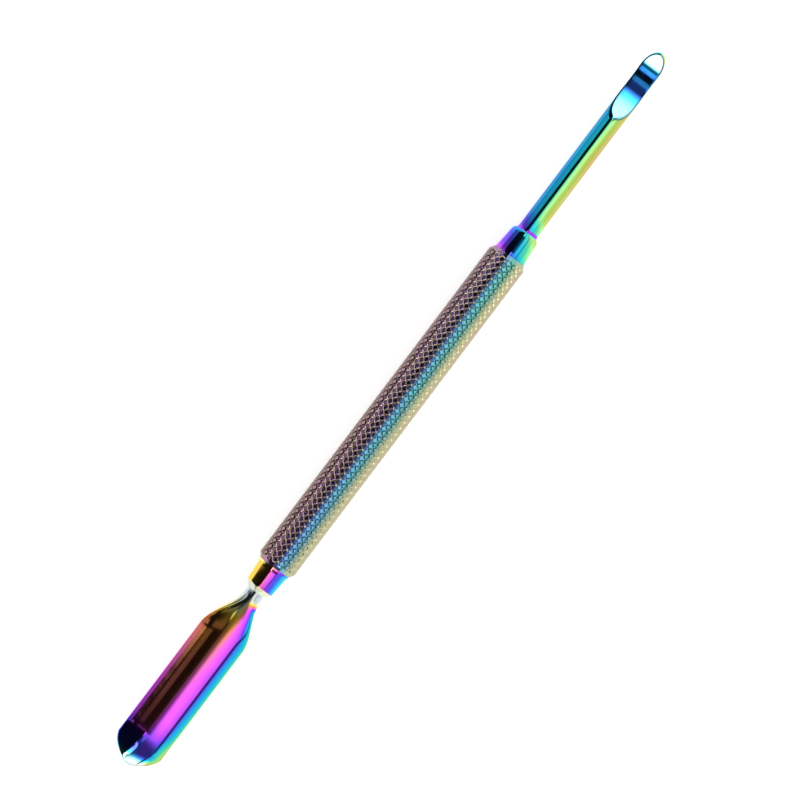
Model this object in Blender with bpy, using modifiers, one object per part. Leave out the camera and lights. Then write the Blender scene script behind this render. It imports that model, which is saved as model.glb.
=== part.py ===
"""A double-ended cuticle pusher: a spoon-shaped pusher and a hollow-ground scoop on one tubular handle.

The tool lies along X with the scoop at +X, its back and its ground face up, on the plane Z = 0.
Each piece is modelled where the assembled tool holds it. Lengths are in metres.
"""

from math import asin, cos, pi, sin

import bmesh
import bpy

MM = 0.001

# Handle: a stainless steel tube.
HANDLE_LENGTH = 64.0 * MM
HANDLE_RADIUS = 3.5 * MM
HANDLE_BORE_RADIUS = 2.5 * MM
HANDLE_END_RADIUS = 3.0 * MM
HANDLE_CHAMFER_LENGTH = 0.8 * MM
BORE_CHAMFER = 0.2 * MM

# Collars: turned ferrules whose spigots are pressed into the tube.
PRESS_GAP = 0.04 * MM
COLLAR_BASE_RADIUS = 2.98 * MM
SPIGOT_LENGTH = 8.0 * MM
SPIGOT_CHAMFER = 0.4 * MM
SPOON_COLLAR_LENGTH = 5.1 * MM
SPOON_COLLAR_FRONT_RADIUS = 2.5 * MM
SPOON_COLLAR_CHAMFER = 0.8 * MM
BLADE_COLLAR_LENGTH = 5.3 * MM
BLADE_COLLAR_FRONT_RADIUS = 2.55 * MM
BLADE_COLLAR_ROUNDING_LENGTH = 1.2 * MM
BLADE_COLLAR_ROUNDING_DEPTH = 0.45 * MM
ROUNDING_STEPS = 6

# Spoon: a forged blade that bends round a shallow trough and droops at its tip, on a round neck and tang.
SPOON_REACH = 35.3 * MM
SPOON_HALF_WIDTH = 4.22 * MM
SPOON_BEND_RADIUS = 7.7 * MM
SPOON_HALF_THICKNESS = 0.4 * MM
SPOON_MIDDLE_HEIGHT = 0.85 * MM
SPOON_SQUARENESS = 6.0
SPOON_SHOULDER_START = 0.3 * MM
SPOON_SHOULDER_END = 9.5 * MM
SPOON_SHOULDER_SKEW = 1.1
SPOON_TIP_LENGTH = 3.45 * MM
SPOON_TIP_POWER = 1.5
SPOON_DROOP_LENGTH = 6.3 * MM
SPOON_DROOP = 0.88 * MM
SPOON_DROOP_POWER = 1.4
SPOON_BEVEL_LENGTH = 3.3 * MM
SPOON_EDGE_THICKNESS = 0.5 * MM
NECK_RADIUS = 1.6 * MM
TANG_LENGTH = 11.0 * MM
ROUND_SECTION_POWER = 2.0

# Scoop blade: a round rod with a pointed nose, ground hollow on top by a wheel.
BLADE_REACH = 36.4 * MM
ROD_RADIUS = 1.85 * MM
NOSE_LENGTH = 3.45 * MM
NOSE_STEPS = 12
SCOOP_HEEL_FROM_TIP = 13.5 * MM
SCOOP_LOWEST_FROM_TIP = 5.85 * MM
SCOOP_BELOW_AXIS = 0.33 * MM
WHEEL_WIDTH = 8.0 * MM
WHEEL_SEGMENTS = 160

# How round things are divided. The tool rests on one of the tube's flats.
SEGMENTS = 32
HALF_STEP = pi / SEGMENTS
SECTION_STEPS = 22
BLADE_SECTIONS = 8
DROOP_SECTIONS = 4
SHOULDER_SECTIONS = 16
TIP_SECTIONS = 9
MERGE = 0.01 * MM

# Stations along X, worked out from the lengths above, with the tool's middle at X = 0.
TOOL_LENGTH = SPOON_REACH + SPOON_COLLAR_LENGTH + HANDLE_LENGTH + BLADE_COLLAR_LENGTH + BLADE_REACH
SPOON_TIP_X = -TOOL_LENGTH / 2
SPOON_COLLAR_X = SPOON_TIP_X + SPOON_REACH
HANDLE_START_X = SPOON_COLLAR_X + SPOON_COLLAR_LENGTH
HANDLE_END_X = HANDLE_START_X + HANDLE_LENGTH
BLADE_COLLAR_X = HANDLE_END_X + BLADE_COLLAR_LENGTH
BLADE_TIP_X = BLADE_COLLAR_X + BLADE_REACH
AXIS_HEIGHT = HANDLE_RADIUS * cos(HALF_STEP)

# Base colour, roughness and metallic value of each finish.
KNURLED_FILM = ((0.30, 0.28, 0.26), 0.28, 1.0)
GOLD_TO_BLUE_FILM = ((0.55, 0.22, 0.62), 0.10, 1.0)
BLUE_TO_GREEN_FILM = ((0.16, 0.52, 0.45), 0.10, 1.0)
SPOON_FILM = ((0.75, 0.20, 0.70), 0.08, 1.0)
BLADE_FILM = ((0.22, 0.60, 0.42), 0.08, 1.0)


def clear_scene():
    for obj in list(bpy.data.objects):
        bpy.data.objects.remove(obj, do_unlink=True)


def new_collection(name, hidden=False):
    collection = bpy.data.collections.new(name)
    bpy.context.scene.collection.children.link(collection)
    collection.hide_render = hidden
    return collection


def metal(name, finish):
    colour, roughness, metallic = finish
    material = bpy.data.materials.new(name)
    material.use_nodes = True
    shader = material.node_tree.nodes["Principled BSDF"]
    shader.inputs["Base Color"].default_value = (*colour, 1.0)
    shader.inputs["Roughness"].default_value = roughness
    shader.inputs["Metallic"].default_value = metallic
    return material


def new_object(name, mesh, collection, axis, x=0.0):
    obj = bpy.data.objects.new(name, mesh)
    obj.parent = axis
    obj.location = (x, 0.0, 0.0)
    collection.objects.link(obj)
    return obj


def turned(name, profile, closed, collection, axis, x):
    """A body turned about X from (radius, station) points that run down its outer side, far end first."""
    edges = [(i, i + 1) for i in range(len(profile) - 1)]
    if closed:
        edges.append((len(profile) - 1, 0))
    mesh = bpy.data.meshes.new(name)
    mesh.from_pydata([(radius, 0.0, station) for radius, station in profile], edges, [])
    obj = new_object(name, mesh, collection, axis, x)
    obj.rotation_mode = "ZYX"
    obj.rotation_euler = (0.0, pi / 2, HALF_STEP)
    screw = obj.modifiers.new("turn", "SCREW")
    screw.axis = "Z"
    screw.angle = 2 * pi
    screw.steps = SEGMENTS
    screw.render_steps = SEGMENTS
    screw.use_merge_vertices = True
    screw.merge_threshold = MERGE
    screw.use_smooth_shade = True
    return obj


def handle_tube(collection, axis):
    bore_mouth = HANDLE_BORE_RADIUS + BORE_CHAMFER
    profile = [
        (HANDLE_END_RADIUS, HANDLE_LENGTH),
        (HANDLE_RADIUS, HANDLE_LENGTH - HANDLE_CHAMFER_LENGTH),
        (HANDLE_RADIUS, HANDLE_CHAMFER_LENGTH),
        (HANDLE_END_RADIUS, 0.0),
        (bore_mouth, 0.0),
        (HANDLE_BORE_RADIUS, BORE_CHAMFER),
        (HANDLE_BORE_RADIUS, HANDLE_LENGTH - BORE_CHAMFER),
        (bore_mouth, HANDLE_LENGTH),
    ]
    tube = turned("handle_tube", profile, True, collection, axis, HANDLE_START_X)
    tube.data.materials.append(metal("knurled_film", KNURLED_FILM))


def collar_profile(front, bore_radius, length):
    """A collar whose front face is at station 0 and whose spigot starts at its length; front is its nose."""
    spigot_radius = HANDLE_BORE_RADIUS - PRESS_GAP
    spigot_end = length + SPIGOT_LENGTH
    seat = length - PRESS_GAP
    return [
        (bore_radius, spigot_end),
        (spigot_radius - SPIGOT_CHAMFER, spigot_end),
        (spigot_radius, spigot_end - SPIGOT_CHAMFER),
        (spigot_radius, seat),
        (COLLAR_BASE_RADIUS, seat),
        *front,
        (bore_radius, 0.0),
    ]


def spoon_end_collar(collection, axis):
    front = [
        (SPOON_COLLAR_FRONT_RADIUS, SPOON_COLLAR_CHAMFER),
        (SPOON_COLLAR_FRONT_RADIUS - SPOON_COLLAR_CHAMFER, 0.0),
    ]
    profile = collar_profile(front, NECK_RADIUS + PRESS_GAP, SPOON_COLLAR_LENGTH)
    collar = turned("spoon_end_collar", profile, True, collection, axis, SPOON_COLLAR_X)
    collar.data.materials.append(metal("gold_to_blue_film", GOLD_TO_BLUE_FILM))


def blade_end_collar(collection, axis):
    def rounding(step):
        angle = step / ROUNDING_STEPS * pi / 2
        return (
            BLADE_COLLAR_FRONT_RADIUS - BLADE_COLLAR_ROUNDING_DEPTH * (1 - cos(angle)),
            BLADE_COLLAR_ROUNDING_LENGTH * (1 - sin(angle)),
        )

    front = [rounding(step) for step in range(ROUNDING_STEPS + 1)]
    profile = collar_profile(front, ROD_RADIUS + PRESS_GAP, BLADE_COLLAR_LENGTH)
    # This collar faces the other way, so its stations are turned round and its points listed backwards.
    mirrored = [(radius, BLADE_COLLAR_LENGTH - station) for radius, station in reversed(profile)]
    collar = turned("blade_end_collar", mirrored, True, collection, axis, HANDLE_END_X)
    collar.data.materials.append(metal("blue_to_green_film", BLUE_TO_GREEN_FILM))


def ease(share):
    """Smoothly from 0 to 1 as share goes from 0 to 1."""
    share = min(max(share, 0.0), 1.0)
    return share * share * (3 - 2 * share)


def spoon_section(reach):
    """Points round the spoon's section at this distance in front of its collar; the tang is at negative reach."""
    past_neck = (reach - SPOON_SHOULDER_START) / (SPOON_SHOULDER_END - SPOON_SHOULDER_START)
    widening = ease(max(past_neck, 0.0) ** SPOON_SHOULDER_SKEW)
    flattening = ease(past_neck)
    half_width = NECK_RADIUS + (SPOON_HALF_WIDTH - NECK_RADIUS) * widening
    half_thickness = NECK_RADIUS + (SPOON_HALF_THICKNESS - NECK_RADIUS) * flattening
    power = ROUND_SECTION_POWER + (SPOON_SQUARENESS - ROUND_SECTION_POWER) * flattening
    into_droop = max(0.0, 1 - (SPOON_REACH - reach) / SPOON_DROOP_LENGTH)
    middle = SPOON_MIDDLE_HEIGHT * flattening - SPOON_DROOP * into_droop**SPOON_DROOP_POWER
    bend = flattening / SPOON_BEND_RADIUS
    into_tip = 1 - (SPOON_REACH - reach) / SPOON_TIP_LENGTH
    if into_tip > 0:
        half_width *= (1 - into_tip**SPOON_TIP_POWER) ** (1 / SPOON_TIP_POWER)
    into_bevel = max(0.0, 1 - (SPOON_REACH - reach) / SPOON_BEVEL_LENGTH)
    bevel = (2 * SPOON_HALF_THICKNESS - SPOON_EDGE_THICKNESS) * into_bevel**2

    def point(angle):
        across = half_width * cos(angle)
        arc = asin(across * bend) / bend if bend else across
        share = min(abs(cos(angle)), 1.0)
        rise = half_thickness * (1 - share**power) ** (1 / power)
        if sin(angle) > 0:
            rise -= bevel * rise / half_thickness
        else:
            rise = -rise
        if not bend:
            return (across, middle + rise)
        swing = arc * bend
        return ((1 / bend + rise) * sin(swing), middle + (1 / bend + rise) * cos(swing) - 1 / bend)

    return [point(2 * pi * (step + 0.5) / (2 * SECTION_STEPS)) for step in range(2 * SECTION_STEPS)]


def spoon_reaches():
    """Distances of the spoon's sections, from the tang's end to the tip."""
    reaches = [-TANG_LENGTH, 0.0]
    shoulder = SPOON_SHOULDER_END - SPOON_SHOULDER_START
    reaches += [SPOON_SHOULDER_START + shoulder * i / SHOULDER_SECTIONS for i in range(SHOULDER_SECTIONS)]
    droop_start = SPOON_REACH - SPOON_DROOP_LENGTH
    blade = droop_start - SPOON_SHOULDER_END
    reaches += [SPOON_SHOULDER_END + blade * i / BLADE_SECTIONS for i in range(BLADE_SECTIONS)]
    tip_start = SPOON_REACH - SPOON_TIP_LENGTH
    droop = tip_start - droop_start
    reaches += [droop_start + droop * i / DROOP_SECTIONS for i in range(DROOP_SECTIONS)]
    for i in range(TIP_SECTIONS):
        reaches.append(tip_start + SPOON_TIP_LENGTH * sin(pi / 2 * i / TIP_SECTIONS))
    return reaches


def spoon_pusher(collection, axis):
    """The spoon is a loft, because its round neck flattens into a bent plate."""
    shape = bmesh.new()
    rings = []
    for reach in spoon_reaches():
        ring = [shape.verts.new((-reach, y, z)) for y, z in spoon_section(reach)]
        rings.append(ring)
    count = 2 * SECTION_STEPS
    for near, far in zip(rings, rings[1:]):
        for i in range(count):
            j = (i + 1) % count
            shape.faces.new((near[i], near[j], far[j], far[i]))
    shape.faces.new(rings[0])
    tip_height = SPOON_MIDDLE_HEIGHT - SPOON_DROOP - SPOON_HALF_THICKNESS + SPOON_EDGE_THICKNESS / 2
    tip = shape.verts.new((-SPOON_REACH, 0.0, tip_height))
    for i in range(count):
        shape.faces.new((rings[-1][i], rings[-1][(i + 1) % count], tip))
    bmesh.ops.recalc_face_normals(shape, faces=shape.faces)
    mesh = bpy.data.meshes.new("spoon_pusher")
    shape.to_mesh(mesh)
    shape.free()
    mesh.shade_smooth()
    spoon = new_object("spoon_pusher", mesh, collection, axis, SPOON_COLLAR_X)
    spoon.data.materials.append(metal("spoon_film", SPOON_FILM))


def grinding_wheel(collection, axis):
    """The wheel that hollows the scoop: it meets the rod's top at the heel and sinks below the axis."""
    run = SCOOP_HEEL_FROM_TIP - SCOOP_LOWEST_FROM_TIP
    depth = ROD_RADIUS + SCOOP_BELOW_AXIS
    radius = (run**2 + depth**2) / (2 * depth)
    bpy.ops.mesh.primitive_cylinder_add(
        vertices=WHEEL_SEGMENTS,
        radius=radius,
        depth=WHEEL_WIDTH,
        location=(BLADE_TIP_X - SCOOP_LOWEST_FROM_TIP, 0.0, radius - SCOOP_BELOW_AXIS),
        rotation=(pi / 2, 0.0, 0.0),
    )
    wheel = bpy.context.active_object
    wheel.name = "grinding_wheel_cutter"
    wheel.parent = axis
    wheel.hide_render = True
    wheel.display_type = "WIRE"
    for owner in list(wheel.users_collection):
        owner.objects.unlink(wheel)
    collection.objects.link(wheel)
    return wheel


def scoop_blade(collection, cutters, axis):
    def nose(step):
        angle = step / NOSE_STEPS * pi / 2
        return (ROD_RADIUS * sin(angle), BLADE_REACH - NOSE_LENGTH * (1 - cos(angle)))

    profile = [nose(step) for step in range(NOSE_STEPS + 1)]
    profile += [(ROD_RADIUS, -TANG_LENGTH), (0.0, -TANG_LENGTH)]
    blade = turned("scoop_blade", profile, False, collection, axis, BLADE_COLLAR_X)
    cut = blade.modifiers.new("hollow_grind", "BOOLEAN")
    cut.operation = "DIFFERENCE"
    cut.solver = "EXACT"
    cut.object = grinding_wheel(cutters, axis)
    blade.data.materials.append(metal("blade_film", BLADE_FILM))


def main():
    clear_scene()
    parts = new_collection("cuticle_pusher")
    cutters = new_collection("cutters", hidden=True)
    axis = bpy.data.objects.new("tool_axis", None)
    axis.location = (0.0, 0.0, AXIS_HEIGHT)
    parts.objects.link(axis)
    handle_tube(parts, axis)
    spoon_end_collar(parts, axis)
    blade_end_collar(parts, axis)
    spoon_pusher(parts, axis)
    scoop_blade(parts, cutters, axis)


main()
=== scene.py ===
"""Cuticle pusher: the finished look of a double-ended manicure tool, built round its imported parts.

Every piece is stainless steel under a rainbow titanium film. Lengths are in metres, angles in radians.
"""

from math import asin, atan2, cos, pi, radians, sin, sqrt

import bmesh
import bpy
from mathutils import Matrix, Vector


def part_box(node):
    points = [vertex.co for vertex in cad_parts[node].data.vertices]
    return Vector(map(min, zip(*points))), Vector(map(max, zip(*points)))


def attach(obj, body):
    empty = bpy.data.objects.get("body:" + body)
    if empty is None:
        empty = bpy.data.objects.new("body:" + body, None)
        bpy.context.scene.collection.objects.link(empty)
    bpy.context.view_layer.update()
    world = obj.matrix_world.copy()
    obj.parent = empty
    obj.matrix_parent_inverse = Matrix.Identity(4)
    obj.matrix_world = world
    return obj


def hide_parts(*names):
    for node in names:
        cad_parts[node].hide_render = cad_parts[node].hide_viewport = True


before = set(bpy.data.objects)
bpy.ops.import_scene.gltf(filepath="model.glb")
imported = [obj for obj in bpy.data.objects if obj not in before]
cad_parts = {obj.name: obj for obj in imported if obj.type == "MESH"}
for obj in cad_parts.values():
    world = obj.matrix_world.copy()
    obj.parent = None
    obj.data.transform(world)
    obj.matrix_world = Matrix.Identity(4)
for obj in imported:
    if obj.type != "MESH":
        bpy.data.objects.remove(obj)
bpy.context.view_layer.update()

bl_info = {
    "name": "Cuticle Pusher",
    "version": (1, 0, 0),
    "blender": (4, 5, 0),
    "location": "3D View > Sidebar > Pusher",
    "description": "Builds a knurled, rainbow-finished cuticle pusher and its studio",
    "category": "Object",
}

MM = 0.001
AXIS_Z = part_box("handle_tube")[1].z / 2
HANDLE_START, HANDLE_END = (corner.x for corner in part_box("handle_tube"))
SPOON_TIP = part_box("spoon_pusher")[0].x
BLADE_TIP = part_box("scoop_blade")[1].x
SPOON_COLLAR_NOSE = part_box("spoon_end_collar")[0].x
BLADE_COLLAR_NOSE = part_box("blade_end_collar")[1].x

# How the pieces are pressed into each other.
PRESS_GAP = 0.01 * MM
SPIGOT_LENGTH = 8 * MM
TANG_LENGTH = 11 * MM

# The film's colours in the order in which they follow each other as the film gets thicker.
FILM_ORDER = (
    (0.00, "C4D2DC"),
    (0.05, "F2EEA6"),
    (0.10, "FADC58"),
    (0.16, "F6BC48"),
    (0.22, "F6985A"),
    (0.28, "F98892"),
    (0.34, "FC78D2"),
    (0.39, "F060F6"),
    (0.44, "BC50F6"),
    (0.49, "8448F0"),
    (0.54, "5454EA"),
    (0.60, "3A84F0"),
    (0.66, "26AEEA"),
    (0.72, "2CCAD4"),
    (0.78, "58D6A4"),
    (0.84, "A2EA90"),
    (0.90, "B6CE5E"),
    (0.95, "C2B666"),
    (1.00, "CA9A82"),
)

# The film is never quite even, and the polish under it is never quite the same.
CLOUD_SCALE = 160.0
CLOUD_DRIFT = 0.03
HAZE_SCALE = 900.0
HAZE_FROM, HAZE_TO = 0.3, 0.7
HAZE_LEAST, HAZE_MOST = 0.8, 1.25

KNURLED_ROUGHNESS = 0.14
TURNED_ROUGHNESS = 0.07
GROUND_ROUGHNESS = 0.07
POLISHED_ROUGHNESS = 0.06

# Colours laid over the film: grey crests with a painted reflection, painted groove highlights, painted shade,
# a paler tip and bare ground metal.
GREY_CREST_AND_REFLECTION = "B0A592"
GROOVE_HIGHLIGHT = "EEE2A0"
EDGE_SHADE = "4A4442"
PALE_TIP = "D8F4F6"
BARE_GRIND = "B8ECF0"
RIM_SHADE = "182420"
FLANK_SHADE = "101820"

# A Mix node's sockets go by number, because its float, vector and colour sockets share their names.
MIX_SHARE, MIX_FIRST, MIX_SECOND = 0, 2, 3
MIX_FIRST_COLOUR, MIX_SECOND_COLOUR, MIX_COLOUR = 6, 7, 2


def linear(hexcode):
    """An sRGB hex colour as linear red, green and blue."""
    values = [int(hexcode[i : i + 2], 16) / 255 for i in (0, 2, 4)]
    return [v / 12.92 if v <= 0.04045 else ((v + 0.055) / 1.055) ** 2.4 for v in values]


def length_property(name, description, default, low=0.0):
    return bpy.props.FloatProperty(
        name=name,
        description=description,
        default=default,
        min=low,
        subtype="DISTANCE",
        unit="LENGTH",
        precision=5,
    )


def angle_property(name, description, default):
    return bpy.props.FloatProperty(
        name=name, description=description, default=default, subtype="ANGLE", unit="ROTATION"
    )


def ease(share):
    share = min(max(share, 0.0), 1.0)
    return share * share * (3 - 2 * share)


class PusherHandle(bpy.types.PropertyGroup):
    radius: length_property("Radius", "Radius over the knurl's crests", AXIS_Z)
    bore: length_property("Bore", "Radius of the tube's bore", 2.5 * MM)
    end_radius: length_property("End radius", "Radius of the flat end faces", 3.0 * MM)
    chamfer: length_property("Chamfer", "Length of each end chamfer", 0.8 * MM)
    axial_pitch: length_property("Axial pitch", "Distance along the handle between grooves", 1.207 * MM)
    starts: bpy.props.IntProperty(
        name="Starts", description="Grooves of each hand round the handle", default=18, min=4
    )
    groove: length_property("Groove width", "Width of a knurl groove at the surface", 0.30 * MM)
    depth: length_property("Groove depth", "Depth of a knurl groove", 0.14 * MM)


class PusherCollars(bpy.types.PropertyGroup):
    base_radius: length_property("Base radius", "Radius against the handle", 2.97 * MM)
    spoon_radius: length_property("Spoon end radius", "Radius behind the chamfered nose", 2.5 * MM)
    spoon_base: length_property("Spoon end base", "Radius before the flare at the spoon's end", 2.76 * MM)
    spoon_chamfer: length_property("Spoon end chamfer", "Length of the chamfer round the neck", 1.0 * MM)
    blade_radius: length_property("Blade end radius", "Radius behind the rounded nose", 2.54 * MM)
    blade_base: length_property("Blade end base", "Radius before the flare at the blade's end", 2.80 * MM)
    blade_rounding: length_property("Blade end rounding", "Length of the nose's rounding", 1.5 * MM)


class PusherSpoon(bpy.types.PropertyGroup):
    half_width: length_property("Half width", "Half the spoon's width", 4.20 * MM)
    thickness: length_property("Thickness", "Thickness of the spoon's blade", 0.8 * MM)
    bend: length_property("Bend radius", "Radius that the blade is bent to, across its width", 7.7 * MM)
    rise: length_property("Rise", "Height of the blade's middle above the handle's axis", 0.85 * MM)
    neck: length_property("Neck radius", "Radius of the round neck", 1.6 * MM)
    shoulder: length_property("Shoulder", "Length over which the neck widens", 9.5 * MM)
    tip: length_property("Tip", "Length of the rounded tip", 3.45 * MM)
    droop_length: length_property("Droop length", "How far from the tip the blade starts to droop", 6.3 * MM)
    droop: length_property("Droop", "How far the tip droops", 0.88 * MM)
    bevel: length_property("Bevel", "Length of the bevel ground on the tip's back", 3.3 * MM)
    rim: length_property("Rim", "Radius that the tip's edge is rounded to", 0.3 * MM)
    twist: angle_property("Twist", "How far the blade leans to one side", radians(2))


class PusherBlade(bpy.types.PropertyGroup):
    radius: length_property("Rod radius", "Radius of the rod", 1.85 * MM)
    nose: length_property("Nose", "Length of the pointed nose", 3.45 * MM)
    heel: length_property("Heel", "Distance from the tip to the start of the scoop", 13.5 * MM)
    lowest: length_property("Lowest point", "Distance from the tip to the scoop's lowest point", 6.1 * MM)
    below: length_property("Depth below axis", "How far the scoop goes below the rod's axis", 0.33 * MM)
    edge: length_property("Edge rounding", "How far the scoop's buffed edge is rounded over", 0.3 * MM)
    turn: angle_property("Turn", "How far the scoop is turned about the rod", radians(1.5))


class PusherStage(bpy.types.PropertyGroup):
    lens: bpy.props.FloatProperty(name="Lens", description="Focal length", default=200.0, unit="CAMERA")
    frame_width: length_property("Frame width", "Width of the view at the handle's axis", 131.44 * MM)
    centre_x: length_property("Centre X", "Where the view is centred along the tool", 1.643 * MM, low=-1.0)
    centre_y: length_property("Centre Y", "Where the view is centred across the tool", 0.10 * MM, low=-1.0)
    roll: angle_property("Roll", "Angle of the tool in the view", radians(52.95))
    floor_colour: bpy.props.FloatVectorProperty(
        name="Floor",
        description="Colour of the floor",
        default=linear("C8C8C6"),
        subtype="COLOR",
        min=0.0,
        max=1.0,
    )


# Meshes

LATHE_STEPS = 192


def finish_mesh(name, shape):
    """A smooth-shaded object from a bmesh, which is freed."""
    bmesh.ops.recalc_face_normals(shape, faces=shape.faces)
    mesh = bpy.data.meshes.new(name)
    shape.to_mesh(mesh)
    shape.free()
    mesh.shade_smooth()
    obj = bpy.data.objects.new(name, mesh)
    bpy.context.scene.collection.objects.link(obj)
    return obj


def skin(name, sections, layers, closed=False):
    """An object through rings of points, each x, y, z from the axis and then a value for every named layer.

    A closed one joins its last ring to its first, and any other has a cap at each end.
    """
    shape = bmesh.new()
    attributes = [shape.verts.layers.float.new(layer) for layer in layers]
    rings = []
    for section in sections:
        ring = []
        for x, y, z, *values in section:
            vert = shape.verts.new((x, y, AXIS_Z + z))
            for attribute, value in zip(attributes, values):
                vert[attribute] = value
            ring.append(vert)
        rings.append(ring)
    following = rings[1:] + rings[:1] if closed else rings[1:]
    for near, far in zip(rings, following):
        for k in range(len(near)):
            n = (k + 1) % len(near)
            shape.faces.new((near[k], near[n], far[n], far[k]))
    if not closed:
        shape.faces.new(rings[0])
        shape.faces.new(rings[-1])
    return finish_mesh(name, shape)


def rounded(points, radius, steps):
    """The closed (x, radius) outline with every corner rounded by a short curve."""
    most = 0.45
    made = []
    count = len(points)
    for i in range(count):
        before, here, after = (Vector(points[j % count]) for j in (i - 1, i, i + 1))
        reach = min(radius, most * (before - here).length, most * (after - here).length)
        start = here + (before - here).normalized() * reach
        end = here + (after - here).normalized() * reach
        for step in range(steps + 1):
            t = step / steps
            made.append((start * (1 - t) ** 2 + here * 2 * t * (1 - t) + end * t * t)[:])
    return made


def lathe(name, outline, across):
    """A closed ring turned about the handle's axis from an (x, radius) outline.

    across is the radius that the film's colours are spread over.
    """
    sections = []
    for x, radius in outline:
        section = []
        for k in range(LATHE_STEPS):
            angle = 2 * pi * k / LATHE_STEPS
            y = radius * sin(angle)
            section.append((x, y, radius * cos(angle), y / across))
        sections.append(section)
    return skin(name, sections, ("across",), closed=True)


# Materials


def add(tree, kind, inputs=(), points=(), **settings):
    """A new shader node. Each input is a value or another node's socket; points shape a Float Curve."""
    node = tree.nodes.new("ShaderNode" + kind)
    for key, value in settings.items():
        setattr(node, key, value)
    for key, value in dict(inputs).items():
        if isinstance(value, bpy.types.NodeSocket):
            tree.links.new(value, node.inputs[key])
        else:
            node.inputs[key].default_value = value
    if points:
        curve = node.mapping.curves[0]
        curve.points[0].location = points[0]
        curve.points[1].location = points[-1]
        for point in points[1:-1]:
            curve.points.new(*point)
        for point in curve.points:
            point.handle_type = "AUTO_CLAMPED"
        node.mapping.update()
    return node


class Film:
    """Polished steel under a titanium film, whose thickness from 0 to 1 picks its colour from FILM_ORDER.

    The colours are laid across and along each piece, so they stay in place from every side.
    """

    def __init__(self, name, start, end):
        self.material = bpy.data.materials.new(name)
        self.material.use_nodes = True
        self.tree = self.material.node_tree
        self.place = add(self.tree, "TexCoord").outputs["Object"]
        side = self.value("across")
        # 0 at the tool's +Y side and 1 at its -Y side.
        self.across = self.spread(side, {"From Min": 1.0, "From Max": -1.0})
        x = add(self.tree, "SeparateXYZ", {0: self.place}).outputs["X"]
        # 0 at the piece's start and 1 at its end.
        self.along = self.spread(x, {"From Min": start, "From Max": end})

    def value(self, name):
        """One of the mesh's own attributes."""
        return add(self.tree, "Attribute", attribute_name=name).outputs["Fac"]

    def spread(self, socket, limits):
        return add(self.tree, "MapRange", {"Value": socket, **limits}).outputs[0]

    def curve(self, socket, points):
        return add(self.tree, "FloatCurve", {"Value": socket}, points).outputs[0]

    def math(self, operation, first, second):
        return add(self.tree, "Math", {0: first, 1: second}, operation=operation).outputs[0]

    def blend(self, share, first, second):
        return add(self.tree, "Mix", {MIX_SHARE: share, MIX_FIRST: first, MIX_SECOND: second}).outputs[0]

    def shift(self, thickness, change, level):
        """The thickness with another curve's height above its usual level added."""
        return self.math("ADD", thickness, self.math("SUBTRACT", change, level))

    def finish(self, thickness, roughness, covers=()):
        """covers are the (share, hex colour) of bare or dull metal, painted highlights, painted reflections
        and painted shade laid over the film.
        """
        shader = self.tree.nodes["Principled BSDF"]
        cloud = add(self.tree, "TexNoise", {"Vector": self.place, "Scale": CLOUD_SCALE, "Detail": 3.0})
        drift = self.spread(cloud.outputs["Fac"], {"To Min": -CLOUD_DRIFT, "To Max": CLOUD_DRIFT})
        ramp = add(self.tree, "ValToRGB", {"Fac": self.math("ADD", thickness, drift)})
        stops = ramp.color_ramp.elements
        while len(stops) < len(FILM_ORDER):
            stops.new(0.5)
        for stop, (position, hexcode) in zip(stops, FILM_ORDER):
            stop.position = position
            stop.color = (*linear(hexcode), 1.0)
        colour = ramp.outputs["Color"]
        for share, hexcode in covers:
            layers = {
                MIX_SHARE: share,
                MIX_FIRST_COLOUR: colour,
                MIX_SECOND_COLOUR: (*linear(hexcode), 1.0),
            }
            colour = add(self.tree, "Mix", layers, data_type="RGBA").outputs[MIX_COLOUR]
        self.tree.links.new(colour, shader.inputs["Base Color"])
        shader.inputs["Metallic"].default_value = 1.0
        fine = add(self.tree, "TexNoise", {"Vector": self.place, "Scale": HAZE_SCALE, "Detail": 2.0})
        haze = {
            "From Min": HAZE_FROM,
            "From Max": HAZE_TO,
            "To Min": roughness * HAZE_LEAST,
            "To Max": roughness * HAZE_MOST,
        }
        self.tree.links.new(self.spread(fine.outputs["Fac"], haze), shader.inputs["Roughness"])
        return self.material


def dress(obj, material, node):
    obj.data.materials.append(material)
    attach(obj, "root")
    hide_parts(node)


# The handle

ON_PLANE = 1e-7
# How far past the handle's ends the knurl is laid before they are cut, in grooves.
KNURL_OVERRUN = 1.3
# How much faster the painted highlight covers a groove's side than the groove gets deeper.
GROOVE_FILL = 1.5
KNURL_CREASE = radians(28)
END_LIP = 0.02 * MM
BORE_BREAK = 0.2 * MM


def groove_spacing(handle):
    """The distance between neighbouring grooves of one hand, square to them."""
    return 1 / sqrt((handle.starts / (2 * pi * handle.radius)) ** 2 + 1 / handle.axial_pitch**2)


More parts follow.
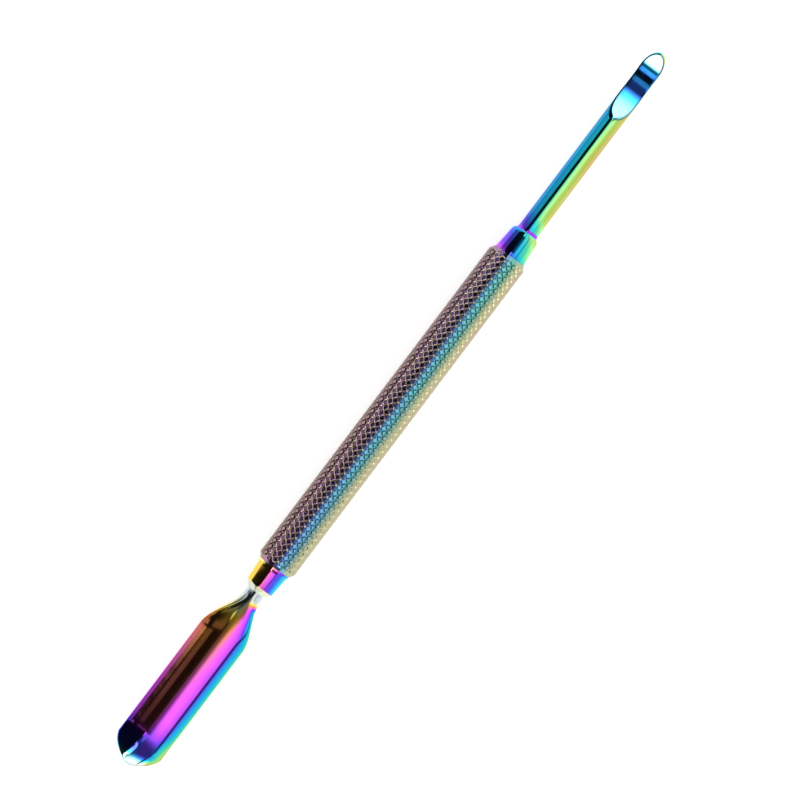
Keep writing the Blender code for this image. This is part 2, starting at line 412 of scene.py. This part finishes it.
def knurl_mesh(handle):
    """A thin tube whose faces follow both hands of grooves, with lines on each groove's edges and bottom."""
    starts, pitch = handle.starts, handle.axial_pitch
    half = handle.groove / 2 / groove_spacing(handle)
    inner = (1 - 2 * half) / 3
    ticks = [0.0, half, half + inner, 1 - half - inner, 1 - half]
    per_cell = len(ticks)
    length = HANDLE_END - HANDLE_START

    def lattice(index):
        return index // per_cell + ticks[index % per_cell]

    shape = bmesh.new()
    verts = {}

    def vert(i, j):
        turns = (i + j) // (2 * starts * per_cell)
        i, j = i - turns * starts * per_cell, j - turns * starts * per_cell
        if (i, j) not in verts:
            u, v = lattice(i), lattice(j)
            angle = pi * (u + v) / starts
            x = HANDLE_START + pitch * (u - v) / 2
            verts[i, j] = shape.verts.new((x, sin(angle), cos(angle)))
        return verts[i, j]

    reach = length / pitch + 2
    span = starts * per_cell
    # Lattice cells whose two coordinates differ by up to the handle's length, once round the handle.
    for i in range(-span, int((2 * starts + reach) * per_cell) + span):
        u = lattice(i)
        for j in range(-int(reach) * per_cell - span, 2 * span + span):
            if not 0 <= i + j < 2 * span:
                continue
            x = (u - lattice(j)) / 2 * pitch
            if -KNURL_OVERRUN * pitch < x < length + KNURL_OVERRUN * pitch:
                shape.faces.new((vert(i, j), vert(i + 1, j), vert(i + 1, j + 1), vert(i, j + 1)))
    return shape


def build_handle(handle):
    """The knurled tube as one closed ring: helical grooves, chamfered ends and a bore."""
    shape = knurl_mesh(handle)
    start, end, chamfer = HANDLE_START, HANDLE_END, handle.chamfer
    cuts = ((start, -1, True), (end, 1, True), (start + chamfer, -1, False), (end - chamfer, 1, False))
    for x, outward, clear in cuts:
        bmesh.ops.bisect_plane(
            shape,
            geom=shape.verts[:] + shape.edges[:] + shape.faces[:],
            dist=ON_PLANE,
            plane_co=(x, 0, 0),
            plane_no=(outward, 0, 0),
            clear_outer=clear,
        )
    side = shape.verts.layers.float.new("across")
    groove = shape.verts.layers.float.new("groove")
    spacing = groove_spacing(handle)
    for vert in shape.verts:
        x, angle = vert.co.x, atan2(vert.co.y, vert.co.z)
        cut = 0.0
        for hand in (1, -1):
            phase = handle.starts * angle / (2 * pi) + hand * (x - start) / handle.axial_pitch
            off = abs(phase - round(phase)) * spacing
            cut = max(cut, 1 - off / (handle.groove / 2))
        from_end = min(x - start, end - x)
        cone = handle.end_radius + (handle.radius - handle.end_radius) * min(from_end / chamfer, 1.0)
        radius = min(cone, handle.radius - cut * handle.depth)
        vert.co = (x, radius * sin(angle), AXIS_Z + radius * cos(angle))
        vert[side] = radius * sin(angle) / handle.radius
        vert[groove] = ease(cut * GROOVE_FILL) if radius < cone - ON_PLANE or cut == 0 else 0.0
    bore_rims = []
    for where, inward in ((start, 1), (end, -1)):
        rim = [e for e in shape.edges if e.is_boundary]
        rim = [e for e in rim if all(abs(v.co.x - where) < ON_PLANE for v in e.verts)]
        steps = (
            (where, handle.end_radius - END_LIP),
            (where, handle.bore + BORE_BREAK),
            (where + inward * BORE_BREAK, handle.bore),
        )
        for x, radius in steps:
            made = bmesh.ops.extrude_edge_only(shape, edges=rim)["geom"]
            for vert in (g for g in made if isinstance(g, bmesh.types.BMVert)):
                angle = atan2(vert.co.y, vert.co.z - AXIS_Z)
                vert.co = (x, radius * sin(angle), AXIS_Z + radius * cos(angle))
                vert[side] = radius * sin(angle) / handle.radius
            rim = [g for g in made if isinstance(g, bmesh.types.BMEdge) and g.is_boundary]
            rim = [e for e in rim if all(abs(v.co.x - x) < ON_PLANE for v in e.verts)]
        bore_rims += rim
    bmesh.ops.bridge_loops(shape, edges=bore_rims)
    obj = finish_mesh("knurled_handle", shape)
    obj.data.set_sharp_from_angle(angle=KNURL_CREASE)
    return obj


# Operators

# In every film curve the first number is a share of the way across or along the piece. The second is the
# film's thickness in the curves of a body, and a share from 0 to 1 in masks.


class PUSHER_OT_handle(bpy.types.Operator):
    """Build the knurled tubular handle"""

    bl_idname = "pusher.handle"
    bl_label = "Handle"

    def execute(self, context):
        obj = build_handle(context.scene.pusher_handle)
        # Satin steel: purple above, blue to green at the middle and straw below, with painted cream
        # highlights in the grooves, grey crests with a painted reflection towards both edges and painted
        # shade along the edge above.
        film = Film("knurled_steel_rainbow_film", HANDLE_START, HANDLE_END)
        body = film.curve(
            film.across,
            (
                (0, 0.33),
                (0.2, 0.39),
                (0.42, 0.49),
                (0.5, 0.58),
                (0.56, 0.65),
                (0.66, 0.69),
                (0.76, 0.73),
                (0.86, 0.84),
                (1, 0.95),
            ),
        )
        drift = film.spread(film.along, {"To Min": -0.015, "To Max": 0.045})
        crests = film.math("ADD", body, drift)
        # Painted highlight: cream in the grooves, strong over the upper half, faint below the middle and at
        # half strength near the lower edge.
        pale_share = film.curve(
            film.across,
            ((0, 0.3), (0.2, 0.85), (0.49, 0.9), (0.55, 0.1), (0.72, 0.1), (0.85, 0.45), (1, 0.4)),
        )
        # Grey over the crests all round, laid on more thickly towards both edges as a painted reflection of
        # the floor.
        grey_and_reflection = film.curve(
            film.across,
            ((0, 0.85), (0.2, 0.7), (0.45, 0.5), (0.55, 0.35), (0.7, 0.4), (0.8, 0.8), (1, 0.9)),
        )
        # Painted shade: darker towards the edge above.
        edge_shade = film.curve(film.across, ((0, 0.6), (0.12, 0.4), (0.3, 0.15), (0.5, 0), (1, 0)))
        groove_highlights = film.math("MULTIPLY", film.value("groove"), pale_share)
        covers = ((grey_and_reflection, GREY_CREST_AND_REFLECTION), (groove_highlights, GROOVE_HIGHLIGHT), (edge_shade, EDGE_SHADE))
        dress(obj, film.finish(crests, KNURLED_ROUGHNESS, covers), "handle_tube")
        return {"FINISHED"}


# Each collar flares out against the handle: (distance from the handle, rise above the cone).
SPOON_COLLAR_FLARE = ((0.75 * MM, 0.0), (0.3 * MM, 0.1 * MM))
BLADE_COLLAR_FLARE = ((0.65 * MM, 0.0), (0.25 * MM, 0.08 * MM))
# The blade-end collar's nose: (share of its length, drop below the cone).
BLADE_COLLAR_NOSE_CURVE = (
    (0.0, 0.0),
    (0.27, 0.07 * MM),
    (0.45, 0.22 * MM),
    (0.58, 0.42 * MM),
    (0.68, 0.58 * MM),
    (0.80, 0.65 * MM),
)
NECK_LIP = 0.05 * MM
ROD_LIP = 0.03 * MM
SPOON_COLLAR_CORNER = 0.16 * MM
BLADE_COLLAR_CORNER = 0.3 * MM
SPOON_COLLAR_CORNER_STEPS = 5
BLADE_COLLAR_CORNER_STEPS = 8
# The film on the narrow faces round the neck and the rod: near bare steel, and magenta.
CHAMFER_FILM = 0.02
FILLET_FILM = 0.47


class PUSHER_OT_collars(bpy.types.Operator):
    """Build the two turned collars"""

    bl_idname = "pusher.collars"
    bl_label = "Collars"

    def execute(self, context):
        collars = context.scene.pusher_collars
        spigot = context.scene.pusher_handle.bore - PRESS_GAP
        self.spoon_end(collars, spigot, context.scene.pusher_spoon.neck)
        self.blade_end(collars, spigot, context.scene.pusher_blade.radius)
        return {"FINISHED"}

    def spoon_end(self, collars, spigot, neck):
        nose = SPOON_COLLAR_NOSE
        outline = [
            (nose, neck + PRESS_GAP),
            (nose, neck + NECK_LIP),
            (nose + collars.spoon_chamfer, collars.spoon_radius),
            *((HANDLE_START - off, collars.spoon_base + rise) for off, rise in SPOON_COLLAR_FLARE),
            (HANDLE_START, collars.base_radius),
            (HANDLE_START, spigot),
            (HANDLE_START + SPIGOT_LENGTH, spigot),
            (HANDLE_START + SPIGOT_LENGTH, neck + PRESS_GAP),
        ]
        outline = rounded(outline, SPOON_COLLAR_CORNER, SPOON_COLLAR_CORNER_STEPS)
        obj = lathe("tapered_collar_spoon_end", outline, collars.base_radius)
        # Mirror-bright steel: gold over magenta over blue, with a pale chamfer round the neck.
        film = Film("turned_steel_gold_to_blue_film", nose, HANDLE_START)
        body = film.curve(
            film.across,
            (
                (0, 0.12),
                (0.3, 0.13),
                (0.5, 0.32),
                (0.58, 0.39),
                (0.66, 0.46),
                (0.72, 0.52),
                (0.8, 0.58),
                (0.9, 0.70),
                (1, 0.78),
            ),
        )
        flare = film.curve(film.along, ((0, 0.3), (0.86, 0.3), (0.95, 0.24), (1, 0.2)))
        body = film.shift(body, flare, 0.3)
        chamfer = film.curve(film.along, ((0, 1), (0.17, 1), (0.22, 0.0), (1, 0)))
        material = film.finish(film.blend(chamfer, body, CHAMFER_FILM), TURNED_ROUGHNESS)
        dress(obj, material, "spoon_end_collar")

    def blade_end(self, collars, spigot, rod):
        nose = BLADE_COLLAR_NOSE
        length = collars.blade_rounding
        start = nose - length
        curve = []
        for share, drop in BLADE_COLLAR_NOSE_CURVE:
            curve.append((start + share * length, collars.blade_radius - drop))
        outline = [
            (nose, rod + PRESS_GAP),
            (nose, rod + ROD_LIP),
            *reversed(curve),
            *((HANDLE_END + off, collars.blade_base + rise) for off, rise in BLADE_COLLAR_FLARE),
            (HANDLE_END, collars.base_radius),
            (HANDLE_END, spigot),
            (HANDLE_END - SPIGOT_LENGTH, spigot),
            (HANDLE_END - SPIGOT_LENGTH, rod + PRESS_GAP),
        ]
        outline = rounded(outline, BLADE_COLLAR_CORNER, BLADE_COLLAR_CORNER_STEPS)
        obj = lathe("tapered_collar_blade_end", outline, collars.base_radius)
        # Mirror-bright steel: purple over blue over green, with a magenta fillet round the rod.
        film = Film("turned_steel_purple_to_green_film", HANDLE_END, nose)
        body = film.curve(
            film.across,
            ((0, 0.50), (0.3, 0.56), (0.45, 0.64), (0.6, 0.70), (0.72, 0.77), (0.85, 0.83), (1, 0.88)),
        )
        drift = film.curve(
            film.along,
            ((0, 0.34), (0.06, 0.36), (0.2, 0.41), (0.5, 0.45), (0.78, 0.52), (0.88, 0.55), (1, 0.55)),
        )
        body = film.shift(body, drift, 0.45)
        fillet = film.curve(film.along, ((0, 0), (0.86, 0), (0.91, 1), (1, 1)))
        material = film.finish(film.blend(fillet, body, FILLET_FILM), TURNED_ROUGHNESS)
        dress(obj, material, "blade_end_collar")


# The spoon

SPOON_HALF_POINTS = 110
SPOON_SHOULDER_SECTIONS = 70
SPOON_FLAT_SECTIONS = 24
SPOON_DROOP_SECTIONS = 30
SPOON_TIP_SECTIONS = 64
COLLAR_MOUTH = 0.2 * MM
SHOULDER_START = 0.3 * MM
SHOULDER_SKEW = 1.1
# A section's outline is a superellipse: round at the neck, nearly square at the blade.
ROUND_POWER = 2
SQUARER_BY = 5
TIP_POWER = 1.5
DROOP_POWER = 1.4
# The bevel on the tip's back: it starts farther back away from BEVEL_AXIS, and it gets steeper towards
# the tip.
BEVEL_AXIS = -0.8 * MM
BEVEL_SPREAD = 1.5 * MM
BEVEL_BOW = 0.25 / MM
BEVEL_SLOPE = 0.09 * MM
BEVEL_CURVE = 0.22 * MM
BEVEL_LEAN = 0.12
BEVEL_LEAN_LENGTH = 3.2 * MM
BEVEL_LEAN_POWER = 1.3
# The most of the half thickness that the bevel and the rounded edge may take.
SINK_LIMIT = 1.85


def tip_sink(spoon, side, from_tip, into_tip, full_width):
    """How far the tip's back is ground down at this distance to the side."""
    bevel = spoon.bevel + BEVEL_BOW * min(side - BEVEL_AXIS, BEVEL_SPREAD) ** 2
    into = max(0.0, 1 - from_tip / bevel)
    lean = BEVEL_LEAN * max(0.0, 1 - from_tip / BEVEL_LEAN_LENGTH) ** BEVEL_LEAN_POWER
    sink = max(0.0, BEVEL_SLOPE * into + BEVEL_CURVE * into**2 - lean * side)
    if into_tip > 0:
        width = abs(side) / full_width
        inside = 1 - into_tip**TIP_POWER - width**TIP_POWER
        slope = TIP_POWER * sqrt(into_tip / spoon.tip**2 + width / full_width**2)
        edge = max(inside, 0.0) / slope
        if edge < spoon.rim:
            sink += spoon.rim - sqrt(spoon.rim**2 - (spoon.rim - edge) ** 2)
    return sink


def spoon_ring(spoon, reach, total):
    """(x, y, z, across) points round the spoon at this distance in front of its collar."""
    past = (reach - SHOULDER_START) / (spoon.shoulder - SHOULDER_START)
    widening = ease(max(past, 0.0) ** SHOULDER_SKEW)
    flattening = ease(past)
    half_width = full_width = spoon.neck + (spoon.half_width - spoon.neck) * widening
    half_thick = spoon.neck + (spoon.thickness / 2 - spoon.neck) * flattening
    power = ROUND_POWER + SQUARER_BY * flattening
    middle = spoon.rise * flattening
    bend = flattening / spoon.bend
    turn = -spoon.twist * flattening
    from_tip = total - reach
    into_tip = 1 - from_tip / spoon.tip
    if into_tip > 0:
        half_width *= max(1 - into_tip**TIP_POWER, 0.0) ** (1 / TIP_POWER)
    middle -= spoon.droop * max(0.0, 1 - from_tip / spoon.droop_length) ** DROOP_POWER
    points = []
    for k in range(2 * SPOON_HALF_POINTS):
        angle = 2 * pi * (k + 0.5) / (2 * SPOON_HALF_POINTS)
        side = half_width * cos(angle)
        share = min(abs(cos(angle)), 1.0)
        rise = half_thick * (1 - share**power) ** (1 / power)
        if sin(angle) > 0:
            sink = tip_sink(spoon, side, from_tip, into_tip, full_width)
            rise -= min(sink, half_thick * SINK_LIMIT) * rise / half_thick
        else:
            rise = -rise
        y, z = side, middle + rise
        if bend:
            swing = asin(side * bend)
            y, z = (1 / bend + rise) * sin(swing), middle + (1 / bend + rise) * cos(swing) - 1 / bend
        y, z = y * cos(turn) + (z - middle) * sin(turn), middle + (z - middle) * cos(turn) - y * sin(turn)
        points.append((SPOON_COLLAR_NOSE - reach, y, z, side / max(half_width, 1e-9)))
    return points


class PUSHER_OT_spoon(bpy.types.Operator):
    """Build the forged spoon with its shoulder, neck and tang"""

    bl_idname = "pusher.spoon"
    bl_label = "Spoon"

    def execute(self, context):
        spoon = context.scene.pusher_spoon
        total = SPOON_COLLAR_NOSE - SPOON_TIP
        straight = total - spoon.droop_length - spoon.shoulder
        droop = spoon.droop_length - spoon.tip
        reaches = [-TANG_LENGTH, -COLLAR_MOUTH, 0.0]
        for before, length, count in (
            (0.0, spoon.shoulder, SPOON_SHOULDER_SECTIONS),
            (spoon.shoulder, straight, SPOON_FLAT_SECTIONS),
            (total - spoon.droop_length, droop, SPOON_DROOP_SECTIONS),
        ):
            reaches += [before + length * (k + 1) / count for k in range(count)]
        # Sections crowd together towards the tip, and the last one stops just short of it.
        for k in range(1, SPOON_TIP_SECTIONS):
            reaches.append(total - spoon.tip + spoon.tip * sin(pi / 2 * k / SPOON_TIP_SECTIONS))
        rings = [spoon_ring(spoon, reach, total) for reach in reaches]
        obj = skin("spoon_blade_and_neck", rings, ("across",))
        dress(obj, self.material(), "spoon_pusher")
        return {"FINISHED"}

    def material(self):
        # Mirror-bright steel: magenta and purple to orange and gold along its left half, blue and green along
        # its right, a warm streak in the dark reflection, silver at the neck and a paler tip.
        film = Film("forged_steel_orange_to_blue_film", SPOON_TIP, SPOON_COLLAR_NOSE)
        left = film.curve(
            film.along,
            (
                (0, 0.42),
                (0.3, 0.41),
                (0.45, 0.37),
                (0.6, 0.31),
                (0.7, 0.265),
                (0.77, 0.21),
                (0.83, 0.14),
                (0.89, 0.06),
                (0.95, 0.02),
                (1, 0),
            ),
        )
        streak = film.curve(film.across, ((0, 0), (0.07, 0), (0.15, 1), (0.4, 1), (0.52, 0), (1, 0)))
        fade = film.curve(film.along, ((0, 0), (0.12, 0), (0.22, 1), (0.7, 1), (0.85, 0), (1, 0)))
        warm = film.curve(film.along, ((0, 0.28), (0.2, 0.27), (0.5, 0.24), (0.75, 0.19), (1, 0.1)))
        left = film.blend(film.math("MULTIPLY", fade, streak), left, warm)
        right = film.curve(
            film.across,
            (
                (0, 0.3),
                (0.5, 0.31),
                (0.6, 0.37),
                (0.7, 0.40),
                (0.78, 0.45),
                (0.84, 0.57),
                (0.88, 0.64),
                (0.92, 0.68),
                (0.96, 0.75),
                (1, 0.86),
            ),
        )
        share = film.curve(film.across, ((0, 0), (0.48, 0), (0.7, 1), (1, 1)))
        blade = film.curve(film.along, ((0, 1), (0.91, 1), (0.96, 0), (1, 0)))
        tip = film.curve(
            film.along,
            (
                (0, 0.34),
                (0.03, 0.30),
                (0.055, 0.21),
                (0.075, 0.14),
                (0.13, 0.12),
                (0.16, 0.085),
                (0.22, 0.02),
                (0.28, 0),
                (1, 0),
            ),
        )
        body = film.blend(film.math("MULTIPLY", share, blade), left, right)
        pale = film.curve(film.along, ((0, 0.75), (0.025, 0.6), (0.045, 0.2), (0.06, 0), (1, 0)))
        return film.finish(film.math("ADD", body, tip), POLISHED_ROUGHNESS, ((pale, PALE_TIP),))


# The scoop blade

ROD_POINTS = 300
ROD_SECTIONS = 16
SCOOP_SECTIONS = 130
NOSE_SECTIONS = 60
ROD_MOUTH = 0.5 * MM
HEEL_MARGIN = 1 * MM
# The points of a section are spread about a centre below the axis, and crowd together on top.
SECTION_CENTRE = -0.5
CROWDING = 0.45
# Where the grinding wheel is cut off, as a share of its radius, and a height well above the rod.
WHEEL_SHARE = 0.8
WELL_ABOVE = 1.0
FACES_UP = 1e-3
EDGE_LIMIT = 0.6


def blade_ring(blade, reach, total):
    """(x, y, z, across, ground) points round the rod at this distance in front of its collar.

    The scoop is cut away, and ground is 1 on its surface and 0 on the rod's.
    """
    radius = blade.radius
    into_nose = reach - (total - blade.nose)
    if into_nose > 0:
        radius *= sqrt(max(1 - (into_nose / blade.nose) ** 2, 0.0))
    run, depth = blade.heel - blade.lowest, blade.radius + blade.below
    wheel = (run**2 + depth**2) / (2 * depth)
    off = reach - (total - blade.lowest)
    top = wheel - sqrt(wheel**2 - off**2) - blade.below if abs(off) < wheel * WHEEL_SHARE else WELL_ABOVE
    centre = SECTION_CENTRE * radius
    soft = min(blade.edge, EDGE_LIMIT * radius)
    points = []
    for k in range(ROD_POINTS):
        turn = -pi + 2 * pi * (k + 0.5) / ROD_POINTS
        angle = turn - CROWDING * sin(turn)
        up, out = cos(angle), sin(angle)
        rim = -up * centre + sqrt(max(radius**2 - (out * centre) ** 2, 0.0))
        flat = (top - centre) / up if up > FACES_UP else WELL_ABOVE
        ray = min(rim, flat)
        if abs(rim - flat) < soft:
            ray -= (soft - abs(rim - flat)) ** 2 / (4 * soft)
        y, z = ray * out, centre + ray * up
        y, z = y * cos(blade.turn) + z * sin(blade.turn), z * cos(blade.turn) - y * sin(blade.turn)
        ground = ease(0.5 + (rim - flat) / soft)
        points.append((BLADE_COLLAR_NOSE + reach, y, z, y / blade.radius, ground))
    return points


class PUSHER_OT_blade(bpy.types.Operator):
    """Build the rod with its hollow-ground scoop"""

    bl_idname = "pusher.blade"
    bl_label = "Scoop blade"

    def execute(self, context):
        blade = context.scene.pusher_blade
        total = BLADE_TIP - BLADE_COLLAR_NOSE
        heel = total - blade.heel - HEEL_MARGIN
        nose = total - blade.nose
        reaches = [-TANG_LENGTH, -ROD_MOUTH, 0.0]
        reaches += [heel * (k + 1) / ROD_SECTIONS for k in range(ROD_SECTIONS)]
        reaches += [heel + (nose - heel) * (k + 1) / SCOOP_SECTIONS for k in range(SCOOP_SECTIONS)]
        # Sections crowd together towards the tip, and the last one stops just short of it.
        reaches += [nose + blade.nose * sin(pi / 2 * k / NOSE_SECTIONS) for k in range(1, NOSE_SECTIONS)]
        rings = [blade_ring(blade, reach, total) for reach in reaches]
        obj = skin("rod_and_scoop", rings, ("across", "ground"))
        dress(obj, self.material(), "scoop_blade")
        return {"FINISHED"}

    def material(self):
        # Mirror-bright steel: blue over green over yellow along the rod, with pale blue, freshly ground metal
        # in the scoop, painted shade as a dark line round its edge and painted shade along the rod's flank
        # above.
        film = Film("ground_steel_blue_to_yellow_film", BLADE_COLLAR_NOSE, BLADE_TIP)
        body = film.curve(
            film.across,
            (
                (0, 0.63),
                (0.15, 0.67),
                (0.3, 0.70),
                (0.45, 0.75),
                (0.53, 0.82),
                (0.62, 0.86),
                (0.78, 0.91),
                (1, 0.975),
            ),
        )
        root = film.curve(film.along, ((0, 0.34), (0.03, 0.38), (0.1, 0.48), (0.5, 0.5), (1, 0.5)))
        body = film.shift(body, root, 0.5)
        ground = film.value("ground")
        scoop = film.curve(
            film.along,
            ((0, 0.66), (0.74, 0.66), (0.8, 0.58), (0.85, 0.64), (0.88, 0.61), (0.92, 0.68), (1, 0.7)),
        )
        pale_share = film.curve(
            film.along,
            ((0, 0.6), (0.64, 0.6), (0.72, 0.35), (0.78, 0.0), (0.9, 0.0), (0.935, 0.8), (1, 0.95)),
        )
        # Painted shade: a dark line along the scoop's rounded edge.
        rim = film.curve(ground, ((0, 0), (0.15, 0.5), (0.5, 0.7), (0.85, 0.5), (1, 0)))
        # Painted shade: darker towards the rod's flank above.
        flank_shade = film.curve(film.across, ((0, 0.35), (0.15, 0.22), (0.26, 0), (1, 0)))
        covers = ((film.math("MULTIPLY", ground, pale_share), BARE_GRIND), (rim, RIM_SHADE), (flank_shade, FLANK_SHADE))
        return film.finish(film.blend(ground, body, scoop), GROUND_ROUGHNESS, covers)


# The studio

FLOOR_REACH = 3.0
FLOOR_SEGMENTS = 4
FLOOR_GAP = 0.05 * MM
FLOOR_ROUGHNESS = 0.6
FLOOR_GLOW = 0.8
CAMERA_CLIP = 10 * MM
OPEN_STUDIO = 1.0

# Soft-edged patches of the studio as the tool sees it, each laid over the ones before it: the angles across
# the tool towards +Y and how soft their two edges are, the same along the tool towards +X, and the
# brightness. Angles are in degrees, and the open studio's brightness is OPEN_STUDIO.
STUDIO = (
    ("left wall", (50, 180), (4, 4), (-90, 90), (1, 1), 0.62),
    ("left wall by the handle", (50, 180), (4, 4), (-2.8, 2.6), (0.2, 0.8), 0.3),
    ("left wall by the neck", (25, 180), (4, 4), (-3.5, -2.8), (0.4, 0.2), 0.75),
    ("left wall over the spoon", (50, 180), (4, 4), (-14, -4.2), (3, 0.3), 0.35),
    ("left wall by the blade collar", (50, 180), (4, 4), (8, 25), (3, 3), 0.35),
    ("dark corner", (28, 75), (6, 4), (-74, -14), (3, 3), 0.02),
    ("dark ceiling", (-30, 54), (2, 3), (-66, 75), (4, 4), 0.012),
    ("dark ceiling over the spoon end", (0, 84), (2, 4), (-22, -9.1), (4, 0.6), 0.012),
    ("opening over the rod", (33, 58), (2, 3), (2.6, 8), (0.6, 2), 0.62),
    ("opening over the neck", (25, 90), (3, 4), (-3.5, -2.8), (0.4, 0.2), 0.75),
    ("opening beside the shoulder", (40, 64), (4, 6), (-4.2, -3.3), (0.3, 0.3), 0.7),
    ("opening over the shoulder", (44, 90), (6, 6), (-10.5, -6.8), (2, 0.6), 0.42),
    ("dim doorway", (22, 34), (4, 4), (-5.1, -3.3), (1.0, 0.4), 0.12),
    ("doorway over the shoulder", (6, 30), (8, 8), (-10.5, -6.8), (3, 0.6), 0.15),
    ("spill by the softbox", (-20, 2), (2, 12), (-66, 60), (4, 4), 0.18),
    ("softbox", (-40.5, -8.5), (1, 11), (-20, 70), (3, 8), 1.15),
    ("softbox over the rod", (-40.5, 1), (1, 7), (2.6, 9), (0.6, 3), 1.3),
    ("softbox by the spoon collar", (-40.5, 1), (1, 7), (-19, -11.5), (2, 1), 1.15),
    ("softbox end", (-40.5, -4), (1, 6), (-38, -16), (3, 7), 0.2),
    ("softbox's flap", (-17, 2), (5, 2), (11, 19), (2, 2), 0.2),
    ("flap's dark back", (-4, 30), (4, 3), (11, 19), (2, 2), 0.012),
    ("end wall", (-60, 9), (3, 3), (-56, -37), (3, 10), 2.6),
    ("dark end", (-60, 60), (8, 8), (-67, -55), (3, 3), 0.03),
    ("gap", (-46.5, -40.5), (1.5, 1.5), (-60, 2.6), (3, 1), 0.14),
    ("gap at the blade end", (-46.5, -40.5), (1.5, 1.5), (8, 60), (1, 3), 0.2),
    ("lamp at the blade end", (-1, 8), (1, 1), (22, 80), (11, 4), 2.4),
    ("dark by the lens", (2.2, 4.4), (0.6, 0.6), (6.8, 18), (1, 5), 0.16),
    ("lamp beside the lens", (2.2, 4.4), (0.6, 0.6), (0, 6.8), (1, 2), 0.6),
    ("dark lens", (2.2, 4.4), (0.6, 0.6), (-9.5, -0.4), (0.6, 0.6), 0.006),
    ("lamp before the lens", (2.2, 4.4), (0.6, 0.6), (-16.2, -10), (1.5, 0.6), 1.5),
    ("dark before the lamp", (2.2, 4.6), (0.6, 0.6), (-21.5, -16.2), (1, 1), 0.16),
    ("lamp at the spoon end", (2, 8), (1, 1), (-62, -21.5), (3, 3), 4.0),
)


class PUSHER_OT_stage(bpy.types.Operator):
    """Build the floor, the studio light and the camera"""

    bl_idname = "pusher.stage"
    bl_label = "Stage"

    def execute(self, context):
        stage = context.scene.pusher_stage
        self.floor(stage)
        self.light(context)
        self.camera(context, stage)
        context.scene.view_settings.view_transform = "Standard"
        return {"FINISHED"}

    def floor(self, stage):
        shape = bmesh.new()
        bmesh.ops.create_grid(shape, x_segments=FLOOR_SEGMENTS, y_segments=FLOOR_SEGMENTS, size=FLOOR_REACH)
        floor = finish_mesh("floor", shape)
        floor.location = (0, 0, -FLOOR_GAP)
        # A light table: an even white that washes out the tool's shadow.
        material = bpy.data.materials.new("opal_acrylic_light_table")
        material.use_nodes = True
        shader = material.node_tree.nodes["Principled BSDF"]
        shader.inputs["Base Color"].default_value = (*stage.floor_colour, 1.0)
        shader.inputs["Roughness"].default_value = FLOOR_ROUGHNESS
        shader.inputs["Emission Color"].default_value = (1, 1, 1, 1)
        shader.inputs["Emission Strength"].default_value = FLOOR_GLOW
        floor.data.materials.append(material)

    def light(self, context):
        world = bpy.data.worlds.new("light_tent")
        context.scene.world = world
        world.use_nodes = True
        tree = world.node_tree

        def math(operation, first, second=0.0):
            return add(tree, "Math", {0: first, 1: second}, operation=operation).outputs[0]

        direction = add(tree, "TexCoord").outputs["Generated"]
        parts = add(tree, "SeparateXYZ", {0: direction}).outputs
        across_angle = math("DEGREES", math("ARCTAN2", parts["Y"], parts["Z"]))
        along_angle = math("DEGREES", math("ARCSINE", parts["X"]))
        total = OPEN_STUDIO
        for name, across, across_soft, along, along_soft, brightness in STUDIO:
            mask = 1.0
            sides = ((across_angle, across, across_soft), (along_angle, along, along_soft))
            for angle, limits, softness in sides:
                for limit, soft, inward in zip(limits, softness, (1, -1)):
                    edges = {"From Min": limit - inward * soft / 2, "From Max": limit + inward * soft / 2}
                    step = add(tree, "MapRange", {"Value": angle, **edges}, interpolation_type="SMOOTHSTEP")
                    mask = math("MULTIPLY", mask, step.outputs[0])
            layers = {MIX_SHARE: mask, MIX_FIRST: total, MIX_SECOND: brightness}
            total = add(tree, "Mix", layers, label=name).outputs[0]
        # The camera sees plain white past the floor's edge, and the patches only as light and reflections.
        seen = add(tree, "LightPath").outputs["Is Camera Ray"]
        total = add(tree, "Mix", {MIX_SHARE: seen, MIX_FIRST: total, MIX_SECOND: OPEN_STUDIO}).outputs[0]
        background = tree.nodes["Background"]
        tree.links.new(total, background.inputs["Strength"])
        background.inputs["Color"].default_value = (1, 1, 1, 1)

    def camera(self, context, stage):
        data = bpy.data.cameras.new("camera")
        data.lens = stage.lens
        data.clip_start = CAMERA_CLIP
        camera = bpy.data.objects.new("camera", data)
        context.scene.collection.objects.link(camera)
        distance = stage.frame_width * stage.lens / data.sensor_width
        camera.location = (stage.centre_x, stage.centre_y, AXIS_Z + distance)
        camera.rotation_euler = (0, 0, -stage.roll)
        context.scene.camera = camera


class PUSHER_PT_panel(bpy.types.Panel):
    """Lists the pieces and their sizes"""

    bl_idname = "PUSHER_PT_panel"
    bl_label = "Cuticle pusher"
    bl_space_type = "VIEW_3D"
    bl_region_type = "UI"
    bl_category = "Pusher"

    def draw(self, context):
        for operator in OPERATORS:
            self.layout.operator(operator.bl_idname)
        for name in SETTINGS:
            group = getattr(context.scene, name)
            box = self.layout.box()
            for key in type(group).__annotations__:
                box.prop(group, key)


SETTINGS = {
    "pusher_handle": PusherHandle,
    "pusher_collars": PusherCollars,
    "pusher_spoon": PusherSpoon,
    "pusher_blade": PusherBlade,
    "pusher_stage": PusherStage,
}
OPERATORS = (PUSHER_OT_handle, PUSHER_OT_collars, PUSHER_OT_spoon, PUSHER_OT_blade, PUSHER_OT_stage)
CLASSES = (*SETTINGS.values(), *OPERATORS, PUSHER_PT_panel)


def register():
    for cls in CLASSES:
        bpy.utils.register_class(cls)
    for name, group in SETTINGS.items():
        setattr(bpy.types.Scene, name, bpy.props.PointerProperty(type=group))


def unregister():
    for name in SETTINGS:
        delattr(bpy.types.Scene, name)
    for cls in reversed(CLASSES):
        bpy.utils.unregister_class(cls)


def main():
    register()
    bpy.ops.pusher.handle()
    bpy.ops.pusher.collars()
    bpy.ops.pusher.spoon()
    bpy.ops.pusher.blade()
    bpy.ops.pusher.stage()


if __name__ == "__main__":
    main()
